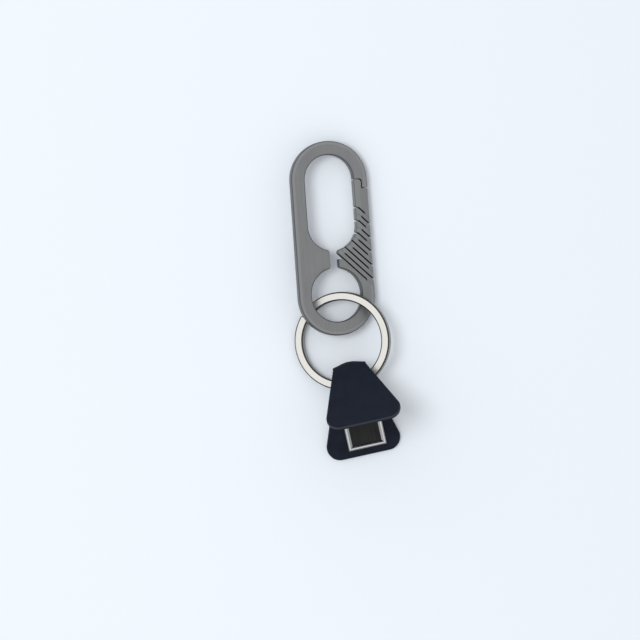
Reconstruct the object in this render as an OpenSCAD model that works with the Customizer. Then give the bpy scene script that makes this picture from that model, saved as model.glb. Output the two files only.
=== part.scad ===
// Key organiser: a one-piece titanium carabiner whose gate springs on a slotted
// flexure, a split key ring in its eye, and a folded strap tab on the ring.
//
// Frame: millimetres, +Z up, origin on the floor under the middle of the whole
// object, as it lies on a table. The carabiner's long axis runs along Y with
// the hook end at +Y. The carabiner and the ring lean against each other where
// the ring passes under its left leg and over its right leg.

/* [Carabiner] */
// Overall length of the carabiner
body_len = 67; // [62:0.5:76]
// Overall width of the carabiner
body_w = 26.6; // [25.6:0.2:30]
// Thickness of the carabiner plate
plate_t = 3.6; // [3:0.1:4.2]
// Width of the metal round the hook opening
leg_w = 4.75; // [4.5:0.05:5.1]
// Distance from the middle of the eye's upper arc to that of the hook opening's
// lower arc, which is the room that the lugs take
lug_span = 23.4; // [22.5:0.1:24.5]
// Radius of the eye that holds the ring
eye_r = 8.85; // [8.6:0.05:9]
// Straight length between the end arcs of the eye
eye_straight = 0.85; // [0.6:0.05:1.2]
// Width of the metal below the eye
foot_w = 4.7; // [4.2:0.1:5.4]
// Gap between the two lugs, which joins the hook opening and the eye
throat_w = 3.1; // [2.7:0.1:3.4]
// Corner radius of the lugs
lug_r = 1.1; // [0.8:0.1:1.4]
// Chamfer on the outer and inner edges
edge_c = 0.3; // [0.1:0.05:0.4]

/* [Gate] */
// Width of the cut between the tip of the gate and the nose
nose_gap = 0.35; // [0.25:0.05:0.5]
// Distance of the gate's shoulder below the middle of the hook's end arc
shoulder_drop = 3.7; // [3:0.1:4.7]
// Distance of the tip of the gate's tongue below the middle of the hook's end arc
tongue_drop = 0.6; // [0:0.1:1.2]
// Width of the nose lip outside the tongue
lip_w = 2.2; // [1.8:0.1:2.6]
// Corner radius of the tongue
tongue_r = 0.9; // [0.4:0.1:1.2]

/* [Flexure] */
// Width of each spring slot
slot_w = 0.5; // [0.36:0.02:0.54]
// Distance from one slot's centre line to the next
slot_pitch = 1.68; // [1.6:0.02:1.72]
// Distance of the first slot's centre line from the middle of the hook
// opening's lower arc
first_slot = 5.94; // [5.84:0.02:6.04]
// Metal left at the closed end of the first slot
root_web = 2.4; // [2:0.1:2.8]
// Metal left at the outer closed ends of the other slots
outer_web = 1.5; // [1.2:0.1:1.8]
// Metal left at the inner closed ends of the slots
inner_web = 1.85; // [1.6:0.05:2.1]
// Slope of the slots, down to the outer edge
slot_slope = 45; // [43:0.5:46]
// Slope of the short entries at the mouths of the upper slots
entry_slope = 14; // [6:1:24]
// Radius of the rounded mouths of the slots
mouth_r = 0.4; // [0.3:0.05:0.55]
// How far the lower lug's top lies below the first slot's mouth
notch_drop = 1.7; // [1.2:0.1:2.2]
// Width of the cut between two leaves of the flexure
leaf_cut = 0.06; // [0.05:0.01:0.08]

/* [Split ring] */
// Outer radius of the ring
ring_ro = 16.85; // [16.4:0.05:17.3]
// Radial width of the ring's wire
wire_w = 2.9; // [2.4:0.1:3]
// Thickness of one coil of the ring's wire
coil_t = 1.55; // [1.3:0.05:1.6]
// Gap between the ring's two coils
coil_gap = 0.1; // [0.06:0.02:0.16]
// Chamfer on the ring's outer edges
ring_c = 0.45; // [0.2:0.05:0.6]
// Angle over which the wire steps from one coil to the other
step_angle = 14; // [10:1:24]
// Angle on the ring at which the upper coil ends
coil_end = 146; // [130:2:150]
// Sideways place of the ring's centre
ring_x = 1.35; // [0.8:0.05:1.6]
// Distance of the ring's centre from the carabiner's centre
ring_y = 35.4; // [34.8:0.1:36]
// Lean of the ring, with its right side raised
ring_tilt = 15; // [14.5:0.25:17]
// Clearance between the ring and the legs it leans on
link_gap = 0.25; // [0.2:0.05:0.4]

/* [Strap tab] */
// Place of the tab on the ring, from the ring's lowest point
tab_bearing = 10; // [6:1:16]
// Direction of the tab, towards the right
tab_heading = 8.7; // [4:0.1:12]
// Lean of the tab, with its bend raised
tab_pitch = 1.6; // [1:0.2:2]
// Thickness of the strap's outer cover
cover_t = 0.9; // [0.7:0.1:1]
// Thickness of the strap's lining
lining_t = 0.7; // [0.6:0.1:0.8]
// Inner radius of the strap's bend
bend_r = 4.3; // [4.2:0.1:4.8]
// Distance from the outside of the bend to the middle of the ring's wire
bend_to_wire = 8; // [7.6:0.1:8.4]
// Angle between the two flaps
flap_angle = 46; // [40:0.5:52]
// Length of each flap from the bend to its end
flap_len = 27; // [26:0.5:30]
// Width of the strap at the bend
neck_w = 11.6; // [10.4:0.2:12]
// Width of each flap at its end
flap_w = 26.2; // [24.6:0.2:28]
// Sideways sway of the lower flap's end
lower_sway = -0.9; // [-1.2:0.1:0]
// Sideways sway of the upper flap's end
upper_sway = 1.3; // [0:0.1:1.5]
// Corner radius of the flaps
corner_r = 4.6; // [3.6:0.2:5.4]
// Depth of the bend's rounded plan
bend_bulge = 1.6; // [1:0.1:1.8]

/* [Magnetic catch] */
// Width of the steel catch frame
catch_w = 13.3; // [12.5:0.1:14]
// Length of the steel catch frame
catch_len = 16; // [14:0.5:17]
// Width of the frame's raised rim
rim_w = 1.1; // [0.8:0.1:1.3]
// Height of the rim above the lining
rim_h = 0.8; // [0.6:0.1:1]
// Distance from the catch to the end of the flap
catch_inset = 2.4; // [1.8:0.1:2.8]
// Sideways place of the catch on the flap
catch_x = 0.3; // [0:0.1:1.2]
// Depth of the magnet's face below the rim
magnet_depth = 0.5; // [0.4:0.1:0.6]
// Clearance round the parts of the catch
catch_fit = 0.1; // [0.05:0.05:0.15]
// Height of the keeper plate below the upper flap
keeper_h = 0.8; // [0.6:0.1:0.9]
// Clearance all round the keeper plate inside the rim
keeper_play = 0.5; // [0.4:0.1:0.7]

/* [Hidden] */

$fn = 96;
// A margin by which cutting shapes pass the faces they cut
over = 1;

// ---- Carabiner plate, in its own plane: centre at the origin, z from 0 ----
body_r = body_w / 2;
body_arc_y = body_len / 2 - body_r;
hook_r = body_r - leg_w;
hook_top = body_arc_y;
eye_low = foot_w + eye_r - body_len / 2;
eye_top = eye_low + eye_straight;
hook_low = eye_top + lug_span;
hook_straight = hook_top - hook_low;
shoulder_y = hook_top - shoulder_drop;
tongue_y = hook_top - tongue_drop;
half_throat = throat_w / 2;

// ---- Flexure: slots number 0 to last_slot, even ones open to the inside ----
leaf_count = 10;
last_slot = leaf_count;
function is_even(k) = k % 2 == 0;
// Distance of slot k's centre line from the plate's centre
function slot_c(k) = hook_low * cos(slot_slope) + k * slot_pitch - first_slot;
slot_dir = [cos(slot_slope), -sin(slot_slope)];
slot_up = [sin(slot_slope), cos(slot_slope)];
// Point of slot k's centre line at a given x
function slot_at(k, x) = [x, (slot_c(k) - x * slot_up[0]) / slot_up[1]];
// Inner edge of the hook opening at a given y, on the right
function hook_edge(y) = y >= hook_low ? hook_r : sqrt(max(hook_r ^ 2 - (y - hook_low) ^ 2, 0));
// Where the sloping slot begins, beyond the entry at its mouth
entry_0 = 0.6;
entry_growth = 0.1;
function entry_len(k) = k < 3 ? 0 : entry_0 + entry_growth * (k - 3);
function mouth_y(k) = slot_at(k, hook_r - (k < 5 ? (5 - k) * 0.8 : 0))[1];
function knee(k) = slot_at(k, hook_edge(mouth_y(k)) + entry_len(k));
entry_dir = [-cos(entry_slope), sin(entry_slope)];
function bend_at(k) = k < 3 ? slot_at(k, 0) : knee(k);
// Where slot k's centre line meets the edge of the hook opening
function mouth_at(k) = knee(k) + entry_dir * entry_len(k) / cos(entry_slope);
// The line that parts the gate at slot k: from inside the hook opening to
// beyond the outer edge
function part_line(k) = [
    k < 3 ? slot_at(k, 0) : knee(k) + entry_dir * knee(k)[0] / cos(entry_slope),
    bend_at(k),
    slot_at(k, body_r + over)
];
function web_of(k) = k == 0 ? root_web : outer_web;

step_x = body_r - lip_w;

// ---- How the plate and the ring lean on each other ----
ring_ri = ring_ro - wire_w;
ring_mid_r = ring_ro - wire_w / 2;
ring_t = 2 * coil_t + coil_gap;
ring_z = (ring_t / 2) * cos(ring_tilt) + (ring_ro - ring_c) * sin(ring_tilt);
// Half the eye's width where the wire's inner edge crosses it
link_dist = ring_y + eye_low;
link_along = (link_dist ^ 2 + eye_r ^ 2 - ring_ri ^ 2) / (2 * link_dist);
link_x = sqrt(eye_r ^ 2 - link_along ^ 2) - edge_c;
link_y = eye_low - link_along;
plate_slope = (2 * link_gap + ring_t / cos(ring_tilt) + plate_t * 1.03) / (2 * link_x) - tan(ring_tilt);
plate_roll = atan(plate_slope);
// The plate's middle layer, not its underside, stays over the origin
plate_shift = plate_t / 2 * sin(plate_roll);
// Height of the plate's underside between the crossings
link_h = ring_z - (link_x + ring_x) * tan(ring_tilt) + ring_t / 2 / cos(ring_tilt)
    + link_gap - (link_x - plate_shift) * tan(plate_roll);
rest_r = body_r - edge_c;
plate_pitch = asin((link_h - rest_r * sin(plate_roll)) /
    (body_arc_y * cos(plate_roll) - link_y / cos(plate_roll)));
plate_nz = cos(plate_pitch) * cos(plate_roll);
plate_z = body_arc_y * sin(plate_pitch) * cos(plate_roll) + rest_r * sqrt(1 - plate_nz ^ 2);

// ---- Strap tab: origin at the middle of the wire, flaps towards -Y ----
strap_t = cover_t + lining_t;
wire_point = [
    ring_x + ring_mid_r * sin(tab_bearing) * cos(ring_tilt),
    -ring_y - ring_mid_r * cos(tab_bearing),
    ring_z + ring_mid_r * sin(tab_bearing) * sin(ring_tilt)
];
bend_ro = bend_r + strap_t;
bend_y = bend_to_wire - bend_ro;
strap_z = -(wire_point[2] - (flap_len - bend_y) * sin(tab_pitch)) / cos(tab_pitch);
bend_z = strap_z + bend_ro;
corner_y = flap_len - corner_r;
// Slope of a flap's right side, and place of its corner, at a given sway
function taper(sway) = atan((flap_w / 2 + sway - neck_w / 2) / corner_y);
function corner_x(sway) = flap_w / 2 + sway - corner_r / cos(taper(sway));
bend_plan_r = ((neck_w / 2) ^ 2 + bend_bulge ^ 2) / (2 * bend_bulge);
catch_y = flap_len - catch_inset - catch_len / 2;
floor_w = catch_w - 2 * rim_w;
floor_len = catch_len - 2 * rim_w;
pocket_t = 0.2;

// ---- The middle of the whole object, which is the origin ----
function turn_x(p, a) = [p[0], p[1] * cos(a) - p[2] * sin(a), p[1] * sin(a) + p[2] * cos(a)];
function turn_z(p, a) = [p[0] * cos(a) - p[1] * sin(a), p[0] * sin(a) + p[1] * cos(a), p[2]];
function tab_place(p) = wire_point + turn_z(turn_x(p, tab_pitch), tab_heading);
low_left = tab_place([-corner_x(-lower_sway), bend_y - corner_y, strap_z]);
low_right = tab_place([corner_x(lower_sway), bend_y - corner_y, strap_z]);
high_right = tab_place([
    corner_x(upper_sway),
    bend_y + bend_ro * sin(flap_angle) - corner_y * cos(flap_angle),
    bend_z + bend_ro * cos(flap_angle) + corner_y * sin(flap_angle)
]);
left_end = ring_x - ring_ro * cos(ring_tilt) - (ring_t / 2 - ring_c) * sin(ring_tilt);
right_end = max(low_right[0], high_right[0]) + corner_r;
near_end = low_left[1] - corner_r;
far_end = (body_len / 2) * cos(plate_pitch) + plate_t * sin(plate_pitch);
mid_x = (left_end + right_end) / 2;
mid_y = (near_end + far_end) / 2;

// ======================= Placing =======================

module on_floor() {
    translate([-mid_x, -mid_y, 0]) children();
}

module plate_pose() {
    on_floor() translate([-plate_shift, 0, plate_z]) rotate([-plate_pitch, plate_roll, 0]) children();
}

module ring_pose() {
    on_floor() translate([ring_x, -ring_y, ring_z]) rotate([0, -ring_tilt, 0]) children();
}

module tab_pose() {
    on_floor() translate(wire_point) rotate([tab_pitch, 0, tab_heading]) children();
}

// Lower flap: the strap's outer face at z 0, its end towards -Y
module lower_pose() {
    tab_pose() translate([0, bend_y, strap_z]) children();
}

// Upper flap: turned over about the bend, its outer face at z 0
module upper_pose() {
    tab_pose()
        translate([0, bend_y, bend_z])
            rotate([-flap_angle, 0, 0])
                translate([0, 0, bend_ro])
                    mirror([0, 0, 1]) children();
}

// ======================= Carabiner =======================

module chamfered_disc(r, t, c) {
    rotate_extrude() polygon([[0, 0], [r - c, 0], [r, c], [r, t - c], [r - c, t], [0, t]]);
}

module chamfered_bar(r, length, t, c) {
    rotate([90, 0, 0])
        linear_extrude(length, center = true)
            polygon([[c - r, 0], [r - c, 0], [r, c], [r, t - c],
                     [r - c, t], [c - r, t], [-r, t - c], [-r, c]]);
}

// The plate's outer form: two discs joined by a bar
module plate_form() {
    for (side = [-1, 1]) translate([0, side * body_arc_y, 0]) chamfered_disc(body_r, plate_t, edge_c);
    chamfered_bar(body_r, 2 * body_arc_y, plate_t, edge_c);
}

// A rounded opening from y0 to y1, flared by the edge chamfer at both faces
module flared_opening(r, y0, y1) {
    flare = edge_c + over;
    for (y = [y0, y1]) translate([0, y, 0]) rotate_extrude()
        polygon([[0, -over], [r + flare, -over], [r, edge_c], [r, plate_t - edge_c],
                 [r + flare, plate_t + over], [0, plate_t + over]]);
    translate([0, (y0 + y1) / 2, 0]) rotate([90, 0, 0]) linear_extrude(y1 - y0, center = true)
        polygon([[-r - flare, -over], [r + flare, -over], [r, edge_c], [r, plate_t - edge_c],
                 [r + flare, plate_t + over], [-r - flare, plate_t + over],
                 [-r, plate_t - edge_c], [-r, edge_c]]);
}

// Flat piece cut away beside the throat, to round a lug's corner: the corner
// lies between the throat's side and an opening of radius r centred at y. The
// rounding crosses the opening's edge by a hair, so that they meet in one line
module lug_corner(r, y, up) {
    hair = 0.01;
    apart = r + lug_r - hair;
    round_x = half_throat + lug_r;
    round_y = y + up * sqrt(apart ^ 2 - round_x ^ 2);
    inside = 0.9 * r;
    difference() {
        polygon([[0, y + up * inside], [round_x, round_y - y] * inside / apart + [0, y],
                 [round_x, round_y], [0, round_y]]);
        translate([round_x, round_y]) circle(lug_r);
    }
}

module throat_plan() {
    translate([-half_throat, eye_top]) square([throat_w, hook_low - eye_top]);
    for (side = [0, 1]) mirror([side, 0]) {
        lug_corner(hook_r, hook_low, -1);
        lug_corner(eye_r, eye_top, 1);
    }
}

module openings() {
    flared_opening(hook_r, hook_low, hook_top);
    flared_opening(eye_r, eye_low, eye_top);
    translate([0, 0, -over]) linear_extrude(plate_t + 2 * over) throat_plan();
}

// A strip of width w along the line that parts the gate at slot k
module strip(k, w, x_from, x_to) {
    line = part_line(k);
    half = w / 2;
    intersection() {
        union() {
            polygon([line[1] - slot_up * half - slot_dir * half, line[1] + slot_up * half - slot_dir * half,
                     line[2] + slot_up * half, line[2] - slot_up * half]);
            if (k >= 3) {
                side = [entry_dir[1], -entry_dir[0]] * half;
                polygon([line[0] - side, line[0] + side, line[1] + side - entry_dir * half,
                         line[1] - side - entry_dir * half]);
            }
        }
        translate([x_from, -body_len / 2]) square([x_to - x_from, body_len]);
    }
}

module inner_web_plan() {
    for (y = [hook_low, hook_top]) translate([0, y]) circle(hook_r + inner_web);
    translate([-hook_r - inner_web, hook_low]) square([2 * (hook_r + inner_web), hook_straight]);
}

// Slot k: an even one opens to the inside, an odd one to the outer edge
module slot_plan(k) {
    if (is_even(k)) {
        strip(k, slot_w, 0, body_r - web_of(k));
        if (k > 0) translate(mouth_at(k)) circle(mouth_r);
    } else {
        difference() {
            strip(k, slot_w, 0, body_r + over);
            inner_web_plan();
        }
        translate(slot_at(k, body_r)) circle(mouth_r);
    }
}

// The notch between the first slot's mouth and the lower lug's level top
module notch_plan() {
    from_x = half_throat - over;
    top_y = slot_at(0, half_throat)[1] - notch_drop;
    polygon([[from_x, top_y], [(slot_c(0) - top_y * slot_up[1]) / slot_up[0], top_y], slot_at(0, from_x)]);
}

// All that lies above the line that parts the gate at slot k
module above_plan(k) {
    line = part_line(k);
    polygon([line[0], line[1], line[2], [body_r + over, body_len / 2], [0, body_len / 2]]);
}

// The gate's upper end, with its tongue and shoulder, grown by g
module gate_end_plan(g) {
    tongue_x = step_x + g;
    top = tongue_y + g;
    translate([0, -body_len / 2]) square([tongue_x, body_len / 2 + top - tongue_r]);
    translate([0, top - tongue_r - over]) square([tongue_x - tongue_r, tongue_r + over]);
    translate([tongue_x - tongue_r, top - tongue_r]) circle(tongue_r);
    translate([0, -body_len / 2]) square([body_r + over, body_len / 2 + shoulder_y + g]);
}

module gate_zone_plan(g) {
    intersection() {
        above_plan(0);
        gate_end_plan(g);
    }
}

module carabiner_frame() {
    color("#85878a") plate_pose() difference() {
        plate_form();
        openings();
        translate([0, 0, -over]) linear_extrude(plate_t + 2 * over) {
            gate_zone_plan(nose_gap);
            slot_plan(0);
            notch_plan();
            strip(0, leaf_cut, 0, body_r + over);
        }
    }
}

module gate_leaf(k) {
    color(is_even(k) ? "#8b8d8f" : "#7f8184") plate_pose() difference() {
        intersection() {
            plate_form();
            translate([0, 0, -over]) linear_extrude(plate_t + 2 * over) difference() {
                above_plan(k - 1);
                above_plan(k);
                for (j = [k - 1, k]) {
                    slot_plan(j);
                    strip(j, leaf_cut, 0, body_r + over);
                }
            }
        }
        openings();
    }
}

module gate_arm() {
    color("#8a8c90") plate_pose() difference() {
        intersection() {
            plate_form();
            translate([0, 0, -over]) linear_extrude(plate_t + 2 * over) difference() {
                intersection() {
                    above_plan(last_slot);
                    gate_end_plan(0);
                }
                slot_plan(last_slot);
                strip(last_slot, leaf_cut, 0, body_r + over);
            }
        }
        openings();
    }
}

// ======================= Split ring =======================

// One coil's section, with its outer face up
module coil_section() {
    polygon([[ring_ri, 0], [ring_ro, 0], [ring_ro, coil_t - ring_c], [ring_ro - ring_c, coil_t],
             [ring_ri + ring_c, coil_t], [ring_ri, coil_t - ring_c]]);
}

// The wire's slanted step from the upper coil to the lower one: a little
// slimmer than the coils, with level ends that reach into both
module ring_step() {
    steps = 6;
    last = steps + 2;
    lap = 1.5;
    slim = 0.06;
    half = coil_t / 2 - slim;
    rise = coil_t + coil_gap;
    inner = ring_ri + slim;
    outer = ring_ro - slim;
    cut = ring_c / 2;
    section = [[inner + cut, -half], [outer - cut, -half], [outer, cut - half], [outer, half - cut],
               [outer - cut, half], [inner + cut, half], [inner, half - cut], [inner, cut - half]];
    n = len(section);
    points = [for (i = [0 : last])
        let (
            t = min(max((i - 1) / steps, 0), 1),
            a = coil_end + lap - (step_angle + 2 * lap) * i / last,
            z = rise * (t - 0.5)
        )
        for (s = section) [s[0] * cos(a), s[0] * sin(a), s[1] + z]];
    walls = [for (i = [0 : last - 1]) for (j = [0 : n - 1])
        let (a = n * i + j, b = n * i + (j + 1) % n) each [[b, a, a + n], [b, a + n, b + n]]];
    faces = concat([[for (j = [0 : n - 1]) j]], [[for (j = [n - 1 : -1 : 0]) n * last + j]], walls);
    polyhedron(points, faces);
}

module split_ring() {
    color("#d9d7cf") ring_pose() {
        for (side = [0, 1]) mirror([0, 0, side]) translate([0, 0, coil_gap / 2])
            rotate([0, 0, coil_end]) rotate_extrude(angle = 360 - step_angle) coil_section();
        ring_step();
    }
}

// ======================= Strap tab =======================

// A flap's right side, from the neck round the corner to the end
function flap_side(sway, steps) = concat([[neck_w / 2, 0]], [
    for (i = [0 : steps]) let (a = taper(sway) - (90 + taper(sway)) * i / steps)
        [corner_x(sway) + corner_r * cos(a), corner_r * sin(a) - corner_y]
]);

module flap_plan(sway) {
    right = flap_side(sway, 10);
    left = flap_side(-sway, 10);
    polygon(concat(right, [for (i = [len(left) - 1 : -1 : 0]) [-left[i][0], left[i][1]]]));
}

module catch_plan(grow) {
    translate([catch_x - catch_w / 2 - grow, -catch_y - catch_len / 2 - grow])
        square([catch_w + 2 * grow, catch_len + 2 * grow]);
}

module keeper_plan(grow) {
    w = floor_w - 2 * keeper_play + 2 * grow;
    length = floor_len - 2 * keeper_play + 2 * grow;
    translate([catch_x - w / 2, -catch_y - length / 2]) square([w, length]);
}

module lower_cover() {
    color("#22262e") lower_pose() linear_extrude(cover_t) flap_plan(lower_sway);
}

module lower_lining() {
    color("#2b303a") lower_pose() translate([0, 0, cover_t]) linear_extrude(lining_t) difference() {
        flap_plan(lower_sway);
        catch_plan(catch_fit);
    }
}

module catch_frame() {
    color("#cfd2d6") lower_pose() translate([0, 0, cover_t]) linear_extrude(lining_t + rim_h) difference() {
        catch_plan(0);
        translate([catch_x - floor_w / 2, -catch_y - floor_len / 2]) square([floor_w, floor_len]);
    }
}

module catch_magnet() {
    color("#3c3a38") lower_pose() translate([0, 0, cover_t])
        linear_extrude(lining_t + rim_h - magnet_depth)
            translate([catch_x - floor_w / 2 + catch_fit, -catch_y - floor_len / 2 + catch_fit])
                square([floor_w - 2 * catch_fit, floor_len - 2 * catch_fit]);
}

// The strap where it goes round the ring's wire, rounded in plan
module strap_bend() {
    seam = 0.3;
    plan_apex = bend_ro + 0.05;
    span = 180 - flap_angle - 2 * seam;
    color("#262b34") tab_pose() translate([0, bend_y, bend_z]) intersection() {
        rotate([0, 90, 0]) rotate([0, 0, seam]) rotate_extrude(angle = span)
            translate([bend_r, -neck_w / 2]) square([strap_t, neck_w]);
        translate([0, plan_apex - bend_plan_r, -bend_ro - over])
            cylinder(r = bend_plan_r, h = 2 * (bend_ro + over));
    }
}

module upper_cover() {
    color("#242830") upper_pose() linear_extrude(cover_t) flap_plan(upper_sway);
}

module upper_lining() {
    color("#2b303a") upper_pose() translate([0, 0, cover_t]) linear_extrude(lining_t) difference() {
        flap_plan(upper_sway);
        keeper_plan(catch_fit);
    }
}

module keeper_plate() {
    color("#b9bcc0") upper_pose() translate([0, 0, cover_t + pocket_t])
        linear_extrude(lining_t + keeper_h - pocket_t) keeper_plan(0);
}

module keeper_magnet() {
    color("#6c6a66") upper_pose() translate([0, 0, cover_t]) linear_extrude(pocket_t) keeper_plan(0);
}

carabiner_frame();
gate_leaf(1);  // gate_leaf_1
gate_leaf(2);  // gate_leaf_2
gate_leaf(3);  // gate_leaf_3
gate_leaf(4);  // gate_leaf_4
gate_leaf(5);  // gate_leaf_5
gate_leaf(6);  // gate_leaf_6
gate_leaf(7);  // gate_leaf_7
gate_leaf(8);  // gate_leaf_8
gate_leaf(9);  // gate_leaf_9
gate_leaf(10);  // gate_leaf_10
gate_arm();
split_ring();
lower_cover();
lower_lining();
catch_frame();
catch_magnet();
strap_bend();
upper_cover();
upper_lining();
keeper_plate();
keeper_magnet();
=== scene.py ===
from math import atan, cos, pi, radians, sin

import bpy
from mathutils import Euler, Matrix, Vector


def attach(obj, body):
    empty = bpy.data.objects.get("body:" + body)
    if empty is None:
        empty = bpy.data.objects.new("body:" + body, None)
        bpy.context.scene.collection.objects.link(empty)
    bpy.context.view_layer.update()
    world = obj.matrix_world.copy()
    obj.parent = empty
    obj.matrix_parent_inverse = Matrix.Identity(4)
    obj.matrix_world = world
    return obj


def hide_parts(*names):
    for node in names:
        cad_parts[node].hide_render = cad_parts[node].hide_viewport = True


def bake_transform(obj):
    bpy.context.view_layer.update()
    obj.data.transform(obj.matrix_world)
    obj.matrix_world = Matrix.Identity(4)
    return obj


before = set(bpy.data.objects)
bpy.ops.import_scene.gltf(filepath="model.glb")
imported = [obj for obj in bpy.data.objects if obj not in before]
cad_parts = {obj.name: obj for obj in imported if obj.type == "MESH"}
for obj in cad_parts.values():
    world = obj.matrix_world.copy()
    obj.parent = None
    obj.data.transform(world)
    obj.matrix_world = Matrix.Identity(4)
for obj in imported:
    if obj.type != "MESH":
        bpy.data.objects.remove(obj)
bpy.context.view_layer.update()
mm = 0.001

# ---------------------------------------------------------------- camera
# Straight above, a little rolled, as the photograph was taken
camera_data = bpy.data.cameras.new("overhead_camera")
camera_data.sensor_width = 36
camera_data.lens = 327.04
camera_data.clip_start = 0.05
camera_data.clip_end = 20
camera = bpy.data.objects.new("overhead_camera", camera_data)
camera.location = (-0.008073, -0.00629, 2.005)
camera.rotation_euler = (0, 0, radians(-3.8))
bpy.context.scene.collection.objects.link(camera)
bpy.context.scene.camera = camera

# ---------------------------------------------------------------- sizes, in mm and degrees
# Middle of the whole object on the floor
mid_x, mid_y = 2.07627, -21.441

# Carabiner plate: how it leans, its outline, the hook opening and the eye
plate_roll, plate_pitch = 12.7326, 1.03511
plate_shift, plate_z = 0.396724, 3.23031
body_r, hook_r = 13.3, 8.55
hook_low, hook_top = 4.3, 20.2
eye_low, eye_top, eye_reach = -19.95, -19.1, 9.05
# Width and fall of the outer band, and width of the inner one
outer_band, band_fall, inner_band = 1.2, 0.07, 2.0

# Split ring
ring_x, ring_y, ring_z, ring_tilt = 1.35, 35.4, 5.79011, 15.0
ring_ro, ring_ri = 16.85, 13.95

# Strap
tab_heading, tab_pitch, tab_bearing = 8.7, 1.6, 10.0
cover_t, lining_t = 0.9, 0.7
strap_t = cover_t + lining_t
bend_r, bend_y, bend_z, strap_z = 4.3, 2.1, 0.110749, -5.78925
bend_ro = bend_r + strap_t
flap_angle, flap_len, neck_w, flap_w = 46.0, 27.0, 11.6, 26.2
lower_sway, upper_sway, corner_r = -0.9, 1.3, 4.6
# How far the bend's sides draw back from its middle, and narrow
bend_draw, bend_waist = 1.84, 1.1
# Rounding of the cover's and the lining's edges, and the lining's step back from the cover
cover_soft, lining_soft, lining_step = 0.36, 0.16, 0.25

# Catch: tray, magnet and keeper plate
catch_w, catch_len, rim_w, rim_h = 13.3, 16.0, 1.1, 0.8
catch_inset, catch_x = 2.4, 0.3
catch_y = flap_len - catch_inset - catch_len / 2
tray_h = lining_t + rim_h
keeper_play = 0.5
# The tray's rail from outside to inside: bevel, flat top, slope over the magnet's edge
rail_bevel, rail_bevel_h = 0.36, 0.3
rail_flat = 0.4
rail_slope, rail_slope_h = 0.8, 0.44
rail_lip, rail_soft = 0.03, 0.07
# Play round what sits in a pocket, and how far a pocket cuts past the lining on each side
pocket_play, pocket_under, pocket_over = 0.1, 0.3, 0.5


def turn(x=0, y=0, z=0):
    """A turn in degrees about X, then Y, then Z."""
    return Euler((radians(x), radians(y), radians(z))).to_matrix().to_4x4()


def shift(x, y, z):
    return Matrix.Translation(Vector((x, y, z)))


wire_r = (ring_ro + ring_ri) / 2
wire_point = (
    ring_x + wire_r * sin(radians(tab_bearing)) * cos(radians(ring_tilt)),
    -ring_y - wire_r * cos(radians(tab_bearing)),
    ring_z + wire_r * sin(radians(tab_bearing)) * sin(radians(ring_tilt)),
)
mirror_z = Matrix.Scale(-1, 4, (0, 0, 1))
on_floor = shift(-mid_x, -mid_y, 0)
plate_pose = on_floor @ shift(-plate_shift, 0, plate_z) @ turn(-plate_pitch, plate_roll)
ring_pose = on_floor @ shift(ring_x, -ring_y, ring_z) @ turn(0, -ring_tilt)
tab_pose = on_floor @ shift(*wire_point) @ turn(tab_pitch, 0, tab_heading)
# Each flap's own frame in the tab's: outside of the cover at z 0, inwards along Z
lower_flap = shift(0, bend_y, strap_z)
upper_flap = shift(0, bend_y, bend_z) @ turn(-flap_angle) @ shift(0, 0, bend_ro) @ mirror_z
lower_pose = tab_pose @ lower_flap
upper_pose = tab_pose @ upper_flap


# ---------------------------------------------------------------- node helpers
def node(tree, kind, x, y, **settings):
    n = tree.nodes.new(kind)
    n.location = (x, y)
    for key, value in settings.items():
        setattr(n, key, value)
    return n


def feed(tree, socket, value):
    """Sets a socket to a plain value or links it to another node's output."""
    if isinstance(value, bpy.types.NodeSocket):
        tree.links.new(value, socket)
    else:
        socket.default_value = value


def calc(tree, operation, x, y, a, b=None):
    n = node(tree, "ShaderNodeMath", x, y, operation=operation)
    feed(tree, n.inputs[0], a)
    if b is not None:
        feed(tree, n.inputs[1], b)
    return n.outputs[0]


def ramp(tree, x, y, value, low, high):
    """A smooth 0 to 1 between two values."""
    n = node(tree, "ShaderNodeMapRange", x, y, interpolation_type="SMOOTHSTEP")
    feed(tree, n.inputs["Value"], value)
    feed(tree, n.inputs["From Min"], low)
    feed(tree, n.inputs["From Max"], high)
    return n.outputs["Result"]


def blend_colours(tree, x, y, factor, a, b):
    n = node(tree, "ShaderNodeMix", x, y, data_type="RGBA")
    colours = [s for s in n.inputs if s.type == "RGBA"]
    feed(tree, n.inputs["Factor"], factor)
    for socket, value in zip(colours, (a, b)):
        feed(tree, socket, (*value, 1) if isinstance(value, tuple) else value)
    return n.outputs[2]


def new_group(name, inputs, outputs):
    """A node group with (name, kind, default) inputs and number outputs."""
    tree = bpy.data.node_groups.new(name, "ShaderNodeTree")
    for socket_name, kind, default in inputs:
        socket = tree.interface.new_socket(name=socket_name, in_out="INPUT", socket_type=kind)
        if default is not None:
            socket.default_value = default
    for socket_name in outputs:
        tree.interface.new_socket(
            name=socket_name, in_out="OUTPUT", socket_type="NodeSocketFloat"
        )
    return tree, node(tree, "NodeGroupInput", -900, 0), node(tree, "NodeGroupOutput", 700, 0)


def use_group(tree, group, x, y, **values):
    n = node(tree, "ShaderNodeGroup", x, y, node_tree=group)
    for name, value in values.items():
        feed(tree, n.inputs[name.replace("_", " ")], value)
    return n


def place_vector(tree, pose):
    """Object coordinates turned into a piece's own frame, in mm."""
    coordinates = node(tree, "ShaderNodeTexCoord", -1300, 0)
    mapping = node(tree, "ShaderNodeMapping", -1100, 0, vector_type="TEXTURE")
    mapping.inputs["Location"].default_value = pose.to_translation() * mm
    mapping.inputs["Rotation"].default_value = pose.to_euler()
    mapping.inputs["Scale"].default_value = (mm, mm, mm)
    tree.links.new(coordinates.outputs["Object"], mapping.inputs["Vector"])
    return mapping.outputs["Vector"]


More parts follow.
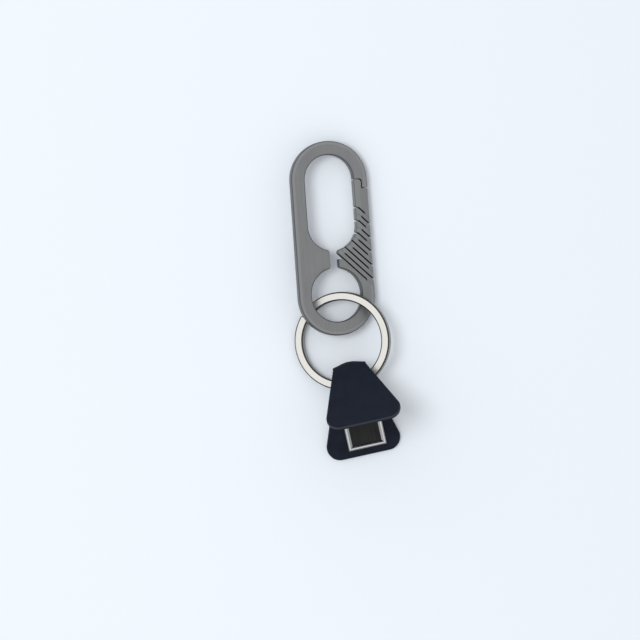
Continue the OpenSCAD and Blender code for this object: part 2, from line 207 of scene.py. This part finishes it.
def add_bump(tree, shader, height, distance, strength):
    bump = node(tree, "ShaderNodeBump", 380, -300)
    bump.inputs["Distance"].default_value = distance
    bump.inputs["Strength"].default_value = strength
    tree.links.new(height, bump.inputs["Height"])
    tree.links.new(bump.outputs["Normal"], shader.inputs["Normal"])


def new_material(name, metallic=0.0, specular=0.5):
    material = bpy.data.materials.new(name)
    material.use_nodes = True
    tree = material.node_tree
    tree.nodes.clear()
    out = node(tree, "ShaderNodeOutputMaterial", 900, 0)
    shader = node(tree, "ShaderNodeBsdfPrincipled", 600, 0)
    tree.links.new(shader.outputs["BSDF"], out.inputs["Surface"])
    shader.inputs["Metallic"].default_value = metallic
    shader.inputs["Specular IOR Level"].default_value = specular
    return material, tree, shader


def set_roughness(tree, shader, tone, low, spread):
    """Roughness that rises by spread with the tone."""
    share = calc(tree, "MULTIPLY", 140, -140, tone, spread)
    tree.links.new(calc(tree, "ADD", 320, -140, share, low), shader.inputs["Roughness"])


# ---------------------------------------------------------------- node groups
def brushed_grain_group():
    """Streaks of a lengthwise brushing over a blasted grain. Vector is in mm, brushed along Y."""
    tree, enter, leave = new_group(
        "brushed_grain",
        [
            ("Vector", "NodeSocketVector", None),
            ("Streak Width", "NodeSocketFloat", 0.4),
            ("Grain Size", "NodeSocketFloat", 0.25),
            ("Streak Share", "NodeSocketFloat", 0.6),
        ],
        ["Tone", "Height"],
    )
    link = tree.links.new
    squeeze = node(tree, "ShaderNodeVectorMath", -680, 120, operation="MULTIPLY")
    squeeze.inputs[1].default_value = (1, 0.045, 0.4)
    link(enter.outputs["Vector"], squeeze.inputs[0])
    streaks = node(tree, "ShaderNodeTexNoise", -460, 160)
    streaks.inputs["Detail"].default_value = 5
    streaks.inputs["Roughness"].default_value = 0.62
    link(squeeze.outputs[0], streaks.inputs["Vector"])
    streak_scale = calc(tree, "DIVIDE", -680, -40, 1.0, enter.outputs["Streak Width"])
    link(streak_scale, streaks.inputs["Scale"])
    grain = node(tree, "ShaderNodeTexNoise", -460, -120)
    grain.inputs["Detail"].default_value = 3
    grain.inputs["Roughness"].default_value = 0.7
    link(enter.outputs["Vector"], grain.inputs["Vector"])
    grain_scale = calc(tree, "DIVIDE", -680, -220, 1.0, enter.outputs["Grain Size"])
    link(grain_scale, grain.inputs["Scale"])
    cloud = node(tree, "ShaderNodeTexNoise", -460, -380)
    cloud.inputs["Scale"].default_value = 0.16
    cloud.inputs["Detail"].default_value = 2
    link(enter.outputs["Vector"], cloud.inputs["Vector"])
    share = enter.outputs["Streak Share"]
    from_streaks = calc(tree, "MULTIPLY", -240, 160, streaks.outputs["Fac"], share)
    rest = calc(tree, "SUBTRACT", -240, 0, 1.0, share)
    from_grain = calc(tree, "MULTIPLY", -60, -60, grain.outputs["Fac"], rest)
    both = calc(tree, "ADD", 120, 60, from_streaks, from_grain)
    wide = calc(tree, "MULTIPLY", -60, -300, cloud.outputs["Fac"], 0.5)
    centred = calc(tree, "SUBTRACT", 120, -240, wide, 0.25)
    link(calc(tree, "ADD", 300, 40, both, centred), leave.inputs["Tone"])
    link(both, leave.inputs["Height"])
    return tree


def face_mask_group():
    """Flat is 1 on faces turned along Facing, Chamfer is 1 on those that lean from it.

    Turn is the least cosine of a flat face. Both are 0 on the walls.
    """
    tree, enter, leave = new_group(
        "flat_face_mask",
        [("Facing", "NodeSocketVector", None), ("Turn", "NodeSocketFloat", 0.9)],
        ["Flat", "Chamfer"],
    )
    link = tree.links.new
    coordinates = node(tree, "ShaderNodeTexCoord", -700, 200)
    dot = node(tree, "ShaderNodeVectorMath", -460, 100, operation="DOT_PRODUCT")
    link(coordinates.outputs["Normal"], dot.inputs[0])
    link(enter.outputs["Facing"], dot.inputs[1])
    slope = calc(tree, "ABSOLUTE", -260, 100, dot.outputs["Value"])
    flat = calc(tree, "GREATER_THAN", -60, 160, slope, enter.outputs["Turn"])
    not_wall = calc(tree, "GREATER_THAN", -60, -40, slope, 0.35)
    link(flat, leave.inputs["Flat"])
    link(calc(tree, "SUBTRACT", 160, 0, not_wall, flat), leave.inputs["Chamfer"])
    return tree


def leather_grain_group():
    """Pebbled, slightly waxy leather. Vector is in mm."""
    tree, enter, leave = new_group(
        "leather_grain",
        [("Vector", "NodeSocketVector", None), ("Pore Size", "NodeSocketFloat", 0.35)],
        ["Tone", "Height"],
    )
    link = tree.links.new
    pores = node(tree, "ShaderNodeTexVoronoi", -460, 160, feature="SMOOTH_F1")
    pores.inputs["Smoothness"].default_value = 0.6
    pores.inputs["Randomness"].default_value = 1
    link(enter.outputs["Vector"], pores.inputs["Vector"])
    pore_scale = calc(tree, "DIVIDE", -680, 60, 1.0, enter.outputs["Pore Size"])
    link(pore_scale, pores.inputs["Scale"])
    fine = node(tree, "ShaderNodeTexNoise", -460, -120)
    fine.inputs["Scale"].default_value = 6
    fine.inputs["Detail"].default_value = 4
    link(enter.outputs["Vector"], fine.inputs["Vector"])
    cloud = node(tree, "ShaderNodeTexNoise", -460, -360)
    cloud.inputs["Scale"].default_value = 0.22
    cloud.inputs["Detail"].default_value = 3
    link(enter.outputs["Vector"], cloud.inputs["Vector"])
    from_pores = calc(tree, "MULTIPLY", -240, 120, pores.outputs["Distance"], 0.9)
    from_fine = calc(tree, "MULTIPLY", -240, -80, fine.outputs["Fac"], 0.35)
    height = calc(tree, "ADD", -60, 60, from_pores, from_fine)
    link(height, leave.inputs["Height"])
    faint = calc(tree, "MULTIPLY", -60, -140, height, 0.4)
    mixed = calc(tree, "ADD", 140, -80, faint, cloud.outputs["Fac"])
    link(calc(tree, "MULTIPLY", 320, -80, mixed, 0.75), leave.inputs["Tone"])
    return tree


def plate_bands_group():
    """Where the plate's bands and slots lie. Vector is in mm in the plate's own frame.

    Slot is 1 inside the plate's outline, off both openings and beyond Lug Side to each side.
    Height falls across the outer band.
    """
    tree, enter, leave = new_group(
        "plate_bands",
        [("Vector", "NodeSocketVector", None), ("Lug Side", "NodeSocketFloat", 2.8)],
        ["Outer", "Inner", "Slot", "Height"],
    )
    link = tree.links.new
    split = node(tree, "ShaderNodeSeparateXYZ", -1900, 0)
    link(enter.outputs["Vector"], split.inputs[0])
    x, y = split.outputs["X"], split.outputs["Y"]

    def far_from(low, high, row):
        """Distance from the plate's middle line between two heights."""
        above_low = calc(tree, "MAXIMUM", -1860, row, y, low)
        held = calc(tree, "MINIMUM", -1700, row, above_low, high)
        both = node(tree, "ShaderNodeCombineXYZ", -1380, row)
        link(x, both.inputs["X"])
        link(calc(tree, "SUBTRACT", -1540, row, y, held), both.inputs["Y"])
        length = node(tree, "ShaderNodeVectorMath", -1220, row, operation="LENGTH")
        link(both.outputs[0], length.inputs[0])
        return length.outputs["Value"]

    rim = far_from(-hook_top, hook_top, 600)
    hook = far_from(hook_low, hook_top, 300)
    eye = far_from(eye_low, eye_top, 0)
    band_edge = body_r - outer_band
    outer = ramp(tree, -900, 600, rim, band_edge - 0.1, band_edge + 0.05)
    link(outer, leave.inputs["Outer"])
    past_inner = ramp(tree, -900, 300, hook, hook_r + inner_band - 0.1, hook_r + inner_band + 0.1)
    link(calc(tree, "SUBTRACT", -700, 300, 1.0, past_inner), leave.inputs["Inner"])
    within = calc(tree, "LESS_THAN", -900, 120, rim, body_r - 0.18)
    beyond = calc(tree, "GREATER_THAN", -900, -40, hook, hook_r + 0.2)
    above = calc(tree, "GREATER_THAN", -900, -200, eye, eye_reach)
    aside = calc(tree, "ABSOLUTE", -1100, -360, x)
    side = calc(tree, "GREATER_THAN", -900, -360, aside, enter.outputs["Lug Side"])
    on_plate = calc(tree, "MULTIPLY", -700, 40, within, beyond)
    on_gate = calc(tree, "MULTIPLY", -700, -240, above, side)
    link(calc(tree, "MULTIPLY", -500, -100, on_plate, on_gate), leave.inputs["Slot"])
    past_edge = calc(tree, "SUBTRACT", -900, 760, rim, band_edge)
    drop = calc(tree, "MAXIMUM", -700, 760, past_edge, 0.0)
    link(calc(tree, "MULTIPLY", -500, 760, drop, -band_fall), leave.inputs["Height"])
    return tree


brushed_grain = brushed_grain_group()
flat_face_mask = face_mask_group()
leather_grain = leather_grain_group()
plate_bands = plate_bands_group()


# ---------------------------------------------------------------- materials
def facing_of(pose):
    """The direction that a piece's own Z points in."""
    return pose.to_3x3() @ Vector((0, 0, 1))


def titanium(name, dark, light, band, band_side, wall, lug_side):
    """Blasted titanium plate, brushed lengthwise, with a painted highlight on one band, painted shade
    on its walls and chamfers and painted black shadow in its slots.
    """
    material, tree, shader = new_material(name, metallic=1.0)
    link = tree.links.new
    vector = place_vector(tree, plate_pose)
    grain = use_group(
        tree, brushed_grain, -800, 100,
        Vector=vector, Streak_Width=0.55, Grain_Size=0.3, Streak_Share=0.62,
    )
    mask = use_group(tree, flat_face_mask, -800, -250, Facing=facing_of(plate_pose), Turn=0.93)
    bands = use_group(tree, plate_bands, -800, -520, Vector=vector, Lug_Side=lug_side)
    tone = ramp(tree, -560, 100, grain.outputs["Tone"], 0.2, 0.8)
    face = blend_colours(tree, -340, 140, tone, dark, light)
    # Painted highlight: the band, a facet that catches the light, is mixed towards the lighter band
    # colour
    lit = calc(tree, "MULTIPLY", -340, 320, bands.outputs[band_side], 0.6)
    face = blend_colours(tree, -180, 200, lit, face, band)
    # Painted shadow: the walls inside the slots are near black, for the shaded gap through the plate
    slot_painted_shadow = (0.006, 0.006, 0.007)
    walls = blend_colours(tree, -340, -260, bands.outputs["Slot"], wall, slot_painted_shadow)
    # Painted shade: walls and chamfers take the darker wall colour, a little less dark on the gate,
    # whose walls stand in the light
    edge = blend_colours(tree, -180, -140, mask.outputs["Chamfer"], walls, wall)
    colour = blend_colours(tree, 0, 60, mask.outputs["Flat"], edge, face)
    link(colour, shader.inputs["Base Color"])
    set_roughness(tree, shader, tone, 0.38, 0.12)
    fine = calc(tree, "MULTIPLY", 0, -420, grain.outputs["Height"], 0.012)
    height = calc(tree, "ADD", 180, -420, fine, bands.outputs["Height"])
    add_bump(tree, shader, height, 0.001, 1.0)
    return material


def ring_steel(name):
    """Tumbled steel wire: warm silver, faintly streaked round the ring, with painted shade on its
    walls and edge chamfers.
    """
    material, tree, shader = new_material(name, metallic=1.0)
    link = tree.links.new
    split = node(tree, "ShaderNodeSeparateXYZ", -1000, 300)
    link(place_vector(tree, ring_pose), split.inputs[0])
    # the ring laid out straight: radius along X, way round along Y
    flattened = node(tree, "ShaderNodeCombineXYZ", -1100, 60)
    link(split.outputs["X"], flattened.inputs["X"])
    link(split.outputs["Y"], flattened.inputs["Y"])
    radius = node(tree, "ShaderNodeVectorMath", -1000, 120, operation="LENGTH")
    link(flattened.outputs[0], radius.inputs[0])
    angle = calc(tree, "ARCTAN2", -820, 320, split.outputs["Y"], split.outputs["X"])
    unrolled = node(tree, "ShaderNodeCombineXYZ", -460, 260)
    link(radius.outputs["Value"], unrolled.inputs["X"])
    link(calc(tree, "MULTIPLY", -640, 320, angle, ring_ro), unrolled.inputs["Y"])
    link(split.outputs["Z"], unrolled.inputs["Z"])
    grain = use_group(
        tree, brushed_grain, -260, 200,
        Vector=unrolled.outputs[0], Streak_Width=0.25, Grain_Size=0.35, Streak_Share=0.5,
    )
    mask = use_group(tree, flat_face_mask, -260, -300, Facing=facing_of(ring_pose), Turn=0.8)
    tone = ramp(tree, -60, 200, grain.outputs["Tone"], 0.25, 0.75)
    top = blend_colours(tree, 140, 260, tone, (0.93, 0.91, 0.865), (1.0, 0.985, 0.95))
    # Painted shade: the walls take a dark grey and the edge chamfers a near black
    wall = blend_colours(tree, 140, 60, tone, (0.24, 0.236, 0.225), (0.32, 0.315, 0.302))
    corner = blend_colours(tree, 300, 60, mask.outputs["Chamfer"], wall, (0.09, 0.082, 0.07))
    colour = blend_colours(tree, 440, 200, mask.outputs["Flat"], corner, top)
    link(colour, shader.inputs["Base Color"])
    set_roughness(tree, shader, tone, 0.34, 0.12)
    add_bump(tree, shader, grain.outputs["Height"], 0.00002, 0.5)
    return material


def leather(name, dark, light, edge_wear_and_highlight, pore, bump, roughness, specular):
    """Leather with lighter edges where the attribute rim is high, partly edge wear and partly a
    painted highlight of the rounded edges catching the light.
    """
    material, tree, shader = new_material(name, specular=specular)
    vector = place_vector(tree, lower_pose)
    grain = use_group(tree, leather_grain, -760, 100, Vector=vector, Pore_Size=pore)
    tone = ramp(tree, -520, 100, grain.outputs["Tone"], 0.3, 0.75)
    rim = node(tree, "ShaderNodeAttribute", -760, 360, attribute_name="rim")
    # The lighter edges are partly edge wear and partly a painted highlight of the rounded edges
    near_rim = ramp(tree, -560, 360, rim.outputs["Fac"], 0.5, 1.0)
    edge_wear_and_highlight_share = calc(tree, "MULTIPLY", -360, 360, near_rim, 0.7)
    plain = blend_colours(tree, -260, 100, tone, dark, light)
    colour = blend_colours(tree, -60, 200, edge_wear_and_highlight_share, plain, edge_wear_and_highlight)
    tree.links.new(colour, shader.inputs["Base Color"])
    set_roughness(tree, shader, tone, roughness - 0.07, 0.14)
    add_bump(tree, shader, grain.outputs["Height"], bump, 0.8)
    return material


def polished(name, dark, light, roughness, pose, streak, slope=None):
    """Finely brushed metal. Faces that lean from the pose's Z take the slope colour, a painted shade,
    if there is one.
    """
    material, tree, shader = new_material(name, metallic=1.0)
    vector = place_vector(tree, pose)
    grain = use_group(
        tree, brushed_grain, -760, 100,
        Vector=vector, Streak_Width=streak, Grain_Size=0.2, Streak_Share=0.7,
    )
    tone = ramp(tree, -520, 100, grain.outputs["Tone"], 0.25, 0.75)
    face = blend_colours(tree, -260, 100, tone, dark, light)
    # Painted shade: faces that lean from the top, the tray's bevels, slopes and walls, take the darker
    # slope colour
    if slope:
        mask = use_group(tree, flat_face_mask, -760, -300, Facing=facing_of(pose), Turn=0.97)
        face = blend_colours(tree, -60, 100, mask.outputs["Flat"], slope, face)
    tree.links.new(face, shader.inputs["Base Color"])
    set_roughness(tree, shader, tone, roughness - 0.04, 0.08)
    add_bump(tree, shader, grain.outputs["Height"], 0.00001, 0.5)
    return material


# Plate and gate are lit and shaded copies of one titanium: each band colour is a painted highlight,
# and the gate's wall colour is a lighter painted shade than the plate's, as its walls stand in the
# light
titanium_plate = titanium(
    "blasted_titanium",
    dark=(0.262, 0.266, 0.273),
    light=(0.33, 0.336, 0.344),
    band=(0.372, 0.38, 0.392),
    band_side="Outer",
    wall=(0.15, 0.152, 0.158),
    lug_side=2.8,
)
titanium_gate = titanium(
    "blasted_titanium_gate",
    dark=(0.255, 0.262, 0.27),
    light=(0.322, 0.332, 0.34),
    band=(0.35, 0.362, 0.364),
    band_side="Inner",
    wall=(0.225, 0.233, 0.234),
    lug_side=1.75,
)
ring_metal = ring_steel("tumbled_ring_steel")
cover_leather = leather(
    "navy_cover_leather",
    dark=(0.0052, 0.0082, 0.0162),
    light=(0.0096, 0.014, 0.0262),
    edge_wear_and_highlight=(0.05, 0.058, 0.072),
    pore=0.35,
    bump=0.00006,
    roughness=0.62,
    specular=0.14,
)
lining_leather = leather(
    "navy_lining_suede",
    dark=(0.0086, 0.0113, 0.0192),
    light=(0.015, 0.0195, 0.0315),
    edge_wear_and_highlight=(0.02, 0.023, 0.03),
    pore=0.22,
    bump=0.00004,
    roughness=0.8,
    specular=0.1,
)
tray_steel = polished(
    "polished_tray_steel",
    dark=(0.68, 0.69, 0.70),
    light=(0.82, 0.83, 0.84),
    roughness=0.14,
    pose=lower_pose,
    streak=0.2,
    # painted shade on the tray's bevels, slopes and walls
    slope=(0.42, 0.425, 0.43),
)
# Painted shade and painted reflection: the magnet face is near black for the raised flap's shadow and
# dark reflection over it
magnet_face = polished(
    "magnet_face_painted_shade",
    dark=(0.020, 0.021, 0.022),
    light=(0.036, 0.036, 0.036),
    roughness=0.22,
    pose=lower_pose,
    streak=0.5,
)
keeper_steel = polished(
    "brushed_keeper_steel",
    dark=(0.45, 0.455, 0.46),
    light=(0.6, 0.605, 0.61),
    roughness=0.3,
    pose=upper_pose,
    streak=0.15,
)

finishes = {
    "carabiner_frame": titanium_plate,
    "split_ring": ring_metal,
    "catch_magnet": magnet_face,
    "keeper_plate": keeper_steel,
    "keeper_magnet": keeper_steel,
}
for name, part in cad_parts.items():
    finish = titanium_gate if name.startswith("gate_") else finishes.get(name)
    if finish:
        part.data.materials.clear()
        part.data.materials.append(finish)


# ---------------------------------------------------------------- mesh helpers
def deselect():
    if bpy.context.object and bpy.context.object.mode != "OBJECT":
        bpy.ops.object.mode_set(mode="OBJECT")
    bpy.ops.object.select_all(action="DESELECT")


def only(piece):
    deselect()
    piece.select_set(True)
    bpy.context.view_layer.objects.active = piece


def new_cube(name):
    deselect()
    bpy.ops.mesh.primitive_cube_add(size=1)
    cube = bpy.context.object
    cube.name = name
    return cube


def apply_modifier(piece, kind, **settings):
    only(piece)
    modifier = piece.modifiers.new(kind.lower(), kind)
    for key, value in settings.items():
        setattr(modifier, key, value)
    bpy.ops.object.modifier_apply(modifier=modifier.name)


def soften(piece, width, segments, angle):
    """Rounds the edges sharper than an angle in degrees."""
    apply_modifier(
        piece, "BEVEL",
        width=width, segments=segments, limit_method="ANGLE", angle_limit=radians(angle),
    )


def outward(piece):
    """Joins doubled points of a piece that is still in mm, and turns its faces outwards."""
    only(piece)
    bpy.ops.object.mode_set(mode="EDIT")
    bpy.ops.mesh.select_all(action="SELECT")
    bpy.ops.mesh.remove_doubles(threshold=0.0005)
    bpy.ops.mesh.normals_make_consistent(inside=False)
    bpy.ops.object.mode_set(mode="OBJECT")


def finish_piece(piece, pose, smooth, material):
    """Puts a piece modelled in mm in its place, in metres, with its object at the origin."""
    outward(piece)
    only(piece)
    piece.matrix_world = Matrix.Scale(mm, 4) @ pose
    bpy.ops.object.transform_apply(location=True, rotation=True, scale=True)
    bpy.ops.object.shade_smooth_by_angle(angle=radians(smooth))
    piece.data.materials.append(material)


# ---------------------------------------------------------------- strap
corner_y = flap_len - corner_r


def taper(sway):
    return atan((flap_w / 2 + sway - neck_w / 2) / corner_y)


def half_widths(sway, edge=0.0):
    """Stations down one side of a flap as (distance from the neck, half width).

    The outline is drawn in by edge.
    """
    lean = taper(sway)
    corner_x = flap_w / 2 + sway - corner_r / cos(lean)
    radius = corner_r - edge
    start = neck_w / 2 - edge / cos(lean)
    end_x = corner_x + radius * cos(lean)
    end_y = corner_y - radius * sin(lean)
    straight, arc = 14, 12
    stations = [
        (end_y * i / straight, start + (end_x - start) * i / straight) for i in range(straight)
    ]
    for i in range(arc + 1):
        a = lean - (pi / 2 + lean) * i / arc
        stations.append((corner_y - radius * sin(a), corner_x + radius * cos(a)))
    return stations


def fold_strap(name, inner, outer, edge=0.0):
    """A layer of the strap, from the lower flap's end over the bend to the upper flap's end.

    inner and outer are depths measured from the strap's outside, inwards. edge draws the
    outline in.
    """
    across, turns = 16, 24
    mid = (inner + outer) / 2
    radius = bend_ro - mid
    lift = radians(flap_angle)
    # the columns crowd towards both sides, so that the corners stay round
    even = [i / across for i in range(across + 1)]
    shares = [(1 - cos(pi * t)) / 2 * 0.5 + t * 0.5 for t in even]

    def flat_row(right, left, place):
        (right_y, right_x), (left_y, left_x) = right, left
        return [
            place(-left_x + (right_x + left_x) * t, left_y + (right_y - left_y) * t)
            for t in shares
        ]

    def on_lower(x, d):
        return Vector((x, bend_y - d, strap_z + mid))

    def on_upper(x, d):
        y = bend_y + radius * sin(lift) - d * cos(lift)
        return Vector((x, y, bend_z + radius * cos(lift) + d * sin(lift)))

    def bend_row(way):
        """A row on the bend, way from 0 at the lower flap to 1 at the upper one."""
        a = radians(180 - flap_angle) * way
        draw = bend_draw * sin(pi * way) ** 1.5
        half = neck_w / 2 - edge - bend_waist * sin(pi * way) ** 2
        y, z = bend_y + radius * sin(a), bend_z - radius * cos(a)
        return [Vector((half * u, y - draw * u * u, z)) for u in (2 * t - 1 for t in shares)]

    low = list(zip(half_widths(lower_sway, edge), half_widths(-lower_sway, edge)))
    high = list(zip(half_widths(upper_sway, edge), half_widths(-upper_sway, edge)))
    rows = [flat_row(right, left, on_lower) for right, left in reversed(low)]
    rows += [bend_row(i / turns) for i in range(1, turns)]
    rows += [flat_row(right, left, on_upper) for right, left in high]

    n = across + 1
    last = len(rows) - 1
    faces = [
        (i * n + j, i * n + j + 1, (i + 1) * n + j + 1, (i + 1) * n + j)
        for i in range(last)
        for j in range(across)
    ]
    mesh = bpy.data.meshes.new(name)
    mesh.from_pydata([v for row in rows for v in row], [], faces)
    rim = mesh.attributes.new("rim", "FLOAT", "POINT")
    for i in range(last + 1):
        for j in range(n):
            rim.data[i * n + j].value = 1.0 if j in (0, across) or i in (0, last) else 0.0
    piece = bpy.data.objects.new(name, mesh)
    bpy.context.scene.collection.objects.link(piece)
    outward(piece)
    apply_modifier(
        piece, "SOLIDIFY", thickness=outer - inner, offset=0, use_even_offset=False
    )
    return piece


def cut_pocket(piece, name, flap, width, length):
    """Cuts the pocket for what sits in the lining of a flap, in the tab's frame."""
    low, high = cover_t - pocket_under, strap_t + pocket_over
    size = (width + pocket_play, length + pocket_play, high - low, 1)
    cutter = new_cube(name)
    cutter.matrix_world = (
        flap @ shift(catch_x, -catch_y, (low + high) / 2) @ Matrix.Diagonal(size)
    )
    apply_modifier(piece, "BOOLEAN", operation="DIFFERENCE", object=cutter, solver="EXACT")
    bpy.data.objects.remove(cutter, do_unlink=True)


cover = fold_strap("strap_cover", 0.0, cover_t)
soften(cover, cover_soft, 4, 50)
finish_piece(cover, tab_pose, 40, cover_leather)

keeper_w = catch_w - 2 * (rim_w + keeper_play)
keeper_len = catch_len - 2 * (rim_w + keeper_play)
lining = fold_strap("strap_lining", cover_t, strap_t, lining_step)
cut_pocket(lining, "tray_pocket", lower_flap, catch_w, catch_len)
cut_pocket(lining, "keeper_pocket", upper_flap, keeper_w, keeper_len)
soften(lining, lining_soft, 2, 50)
finish_piece(lining, tab_pose, 40, lining_leather)

# Both layers are baked in place, and the strap parts from model.glb that they stand in for are hidden
for piece in (cover, lining):
    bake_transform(piece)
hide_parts("lower_cover", "strap_bend", "upper_cover")
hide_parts("lower_lining", "upper_lining")


# ---------------------------------------------------------------- tray
def pick_faces(piece, wanted):
    """Selects the faces of a piece in edit mode that wanted agrees to."""
    bpy.ops.mesh.select_all(action="DESELECT")
    bpy.ops.object.mode_set(mode="OBJECT")
    for face in piece.data.polygons:
        face.select = wanted(face)
    bpy.ops.object.mode_set(mode="EDIT")


def in_middle(face):
    return abs(face.center.x) < 0.01 and abs(face.center.y) < 0.01


tray = new_cube("catch_tray")
block_h = tray_h - rail_bevel_h
bpy.ops.object.mode_set(mode="EDIT")
bpy.ops.mesh.select_mode(type="FACE")
bpy.ops.mesh.select_all(action="SELECT")
bpy.ops.transform.resize(value=(catch_w, catch_len, block_h))
bpy.ops.transform.translate(value=(0, 0, block_h / 2))
pick_faces(tray, lambda face: face.normal.z > 0.9)
bpy.ops.mesh.inset(thickness=rail_bevel, depth=rail_bevel_h)
bpy.ops.mesh.inset(thickness=rail_flat, depth=0)
bpy.ops.mesh.inset(thickness=rail_slope, depth=-rail_slope_h)
# the lip hangs over the magnet's edge, and the hole below it is wider
rail_w = rail_bevel + rail_flat + rail_slope
wider = [(side - 2 * rim_w) / (side - 2 * rail_w) for side in (catch_w, catch_len)]
bpy.ops.mesh.extrude_region_move(TRANSFORM_OT_translate={"value": (0, 0, -rail_lip)})
bpy.ops.transform.resize(value=(*wider, 1))
# the hole goes on down to the bottom
pick_faces(tray, lambda face: face.normal.z < -0.9 and face.center.z < 0.01)
bpy.ops.mesh.inset(thickness=rim_w, depth=0)
pick_faces(tray, lambda face: in_middle(face) and abs(face.normal.z) > 0.9 and face.area > 50)
bpy.ops.mesh.bridge_edge_loops()
bpy.ops.object.mode_set(mode="OBJECT")
outward(tray)
soften(tray, rail_soft, 2, 20)
finish_piece(tray, lower_pose @ shift(catch_x, -catch_y, cover_t), 35, tray_steel)
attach(tray, "tab")
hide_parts("catch_frame")

# ---------------------------------------------------------------- floor
deselect()
bpy.ops.mesh.primitive_plane_add(size=3)
floor = bpy.context.object
floor.name = "paper_floor"
paper, tree, shader = new_material("pale_paper", specular=0.05)
shader.inputs["Roughness"].default_value = 0.9
coordinates = node(tree, "ShaderNodeTexCoord", -900, 0)
place = node(tree, "ShaderNodeSeparateXYZ", -700, 0)
tree.links.new(coordinates.outputs["Object"], place.inputs[0])
# Painted light falloff: the paper is a little lighter to the left, towards the window, and darker to
# the right
rightwards = ramp(tree, -500, 0, place.outputs["X"], -0.14, 0.14)
paper_colour_and_painted_falloff = blend_colours(
    tree, -260, 0, rightwards, (0.873, 0.923, 0.985), (0.824, 0.873, 0.932)
)
tree.links.new(paper_colour_and_painted_falloff, shader.inputs["Base Color"])
floor.data.materials.append(paper)

# ---------------------------------------------------------------- light
# A soft dome, brighter towards the window
world = bpy.data.worlds.new("soft_studio")
bpy.context.scene.world = world
world.use_nodes = True
tree = world.node_tree
tree.nodes.clear()
out = node(tree, "ShaderNodeOutputWorld", 700, 0)
background = node(tree, "ShaderNodeBackground", 500, 0)
tree.links.new(background.outputs[0], out.inputs["Surface"])
coordinates = node(tree, "ShaderNodeTexCoord", -900, 0)
along = node(tree, "ShaderNodeVectorMath", -600, 150, operation="DOT_PRODUCT")
along.inputs[1].default_value = Vector((-0.6, 0.5, 0.62)).normalized()
tree.links.new(coordinates.outputs["Generated"], along.inputs[0])
height = node(tree, "ShaderNodeSeparateXYZ", -600, -100)
tree.links.new(coordinates.outputs["Generated"], height.inputs[0])
rise = ramp(tree, -400, -100, height.outputs["Z"], -0.05, 0.75)
near_window = ramp(tree, -400, 150, along.outputs["Value"], 0.1, 1.0)
dome = blend_colours(tree, -150, 0, rise, (0.34, 0.345, 0.35), (0.69, 0.695, 0.7))
window = calc(tree, "MULTIPLY", -150, 200, near_window, 0.6)
lit_dome = blend_colours(tree, 100, 60, window, dome, (1.0, 1.0, 0.99))
tree.links.new(lit_dome, background.inputs["Color"])

# The window itself casts the shadows and isn't seen in reflections
sun_data = bpy.data.lights.new("window_light", "SUN")
sun_data.energy = 1.0
sun_data.angle = radians(24)
sun = bpy.data.objects.new("window_light", sun_data)
sun.visible_glossy = False
elevation, bearing = radians(69), radians(165)
toward = Vector(
    (cos(elevation) * cos(bearing), cos(elevation) * sin(bearing), sin(elevation))
)
sun.rotation_euler = toward.to_track_quat("Z", "Y").to_euler()
bpy.context.scene.collection.objects.link(sun)

bpy.context.scene.view_settings.view_transform = "Standard"

deselect()
